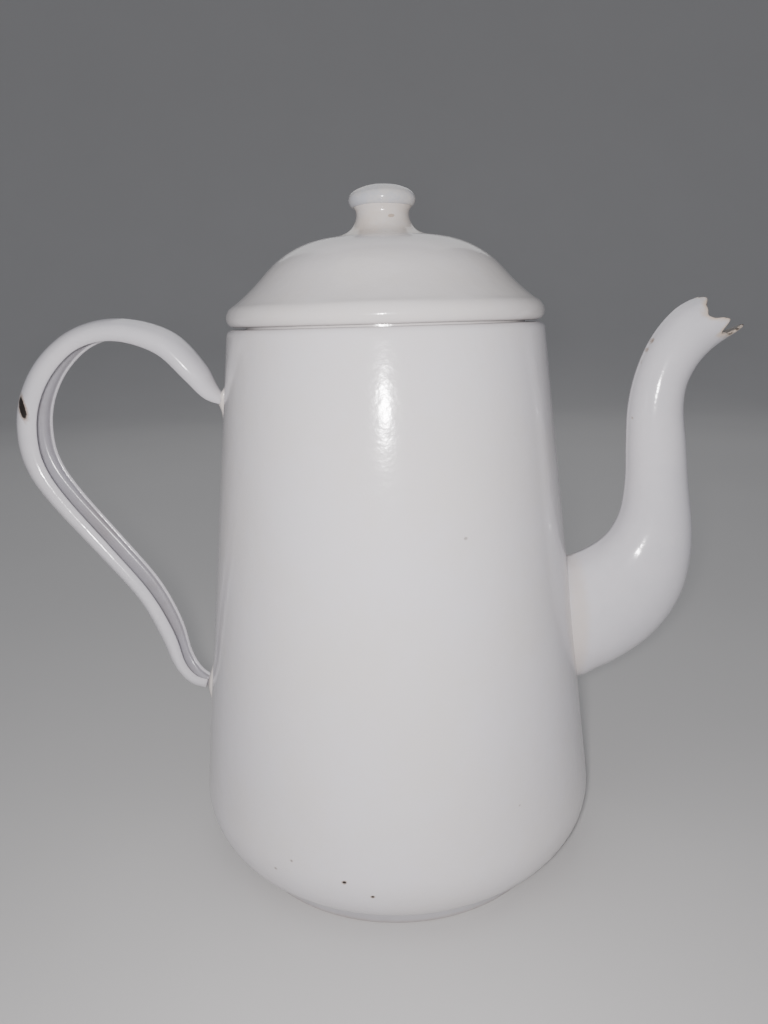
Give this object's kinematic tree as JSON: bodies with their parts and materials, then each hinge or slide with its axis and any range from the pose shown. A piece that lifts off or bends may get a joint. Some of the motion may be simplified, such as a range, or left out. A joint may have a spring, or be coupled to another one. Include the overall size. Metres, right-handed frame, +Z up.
{
  "type": "enamelled coffee pot",
  "caption": "Tapered white enamelled steel coffee pot with a swan-neck spout, a looped strap handle and a domed lid that lifts off by its knob.",
  "frame": {"origin": "centre of the foot ring, on the surface the pot stands on", "axes": "+Z up, +X from the pot's axis to its spout, handle at -X, +Y completes the right-handed frame"},
  "size_m": [0.2242, 0.128, 0.2079],
  "materials": {
    "enamel": "glossy white vitreous enamel on steel",
    "foot_enamel": "worn glossy enamel",
    "spout_enamel": "glossy enamel, worn brown at the mouth",
    "handle_enamel": "glossy enamel with a chip to dark steel",
    "lug_enamel": "glossy enamel, stained at the joint",
    "lid_enamel": "glossy warm white enamel",
    "knob_enamel": "glossy lumpy enamel",
    "rivet_steel": "dull steel"
  },
  "bodies": {
    "pot": {"body_wall": "enamel", "base_pan": "foot_enamel", "spout_left_half": "spout_enamel", "spout_right_half": "spout_enamel", "handle_strap": "handle_enamel", "handle_top_lug": "lug_enamel", "handle_bottom_lug": "lug_enamel"},
    "lid": {"lid_dome": "lid_enamel", "lid_collar": "lid_enamel", "knob_neck": "knob_enamel", "knob_cap": "knob_enamel", "knob_rivet": "rivet_steel"}
  },
  "joints": [
    {"name": "lid_lift", "type": "slide", "parent": "pot", "child": "lid", "axis": [0, 0, 1], "range_m": [0, 0.08]}
  ]
}
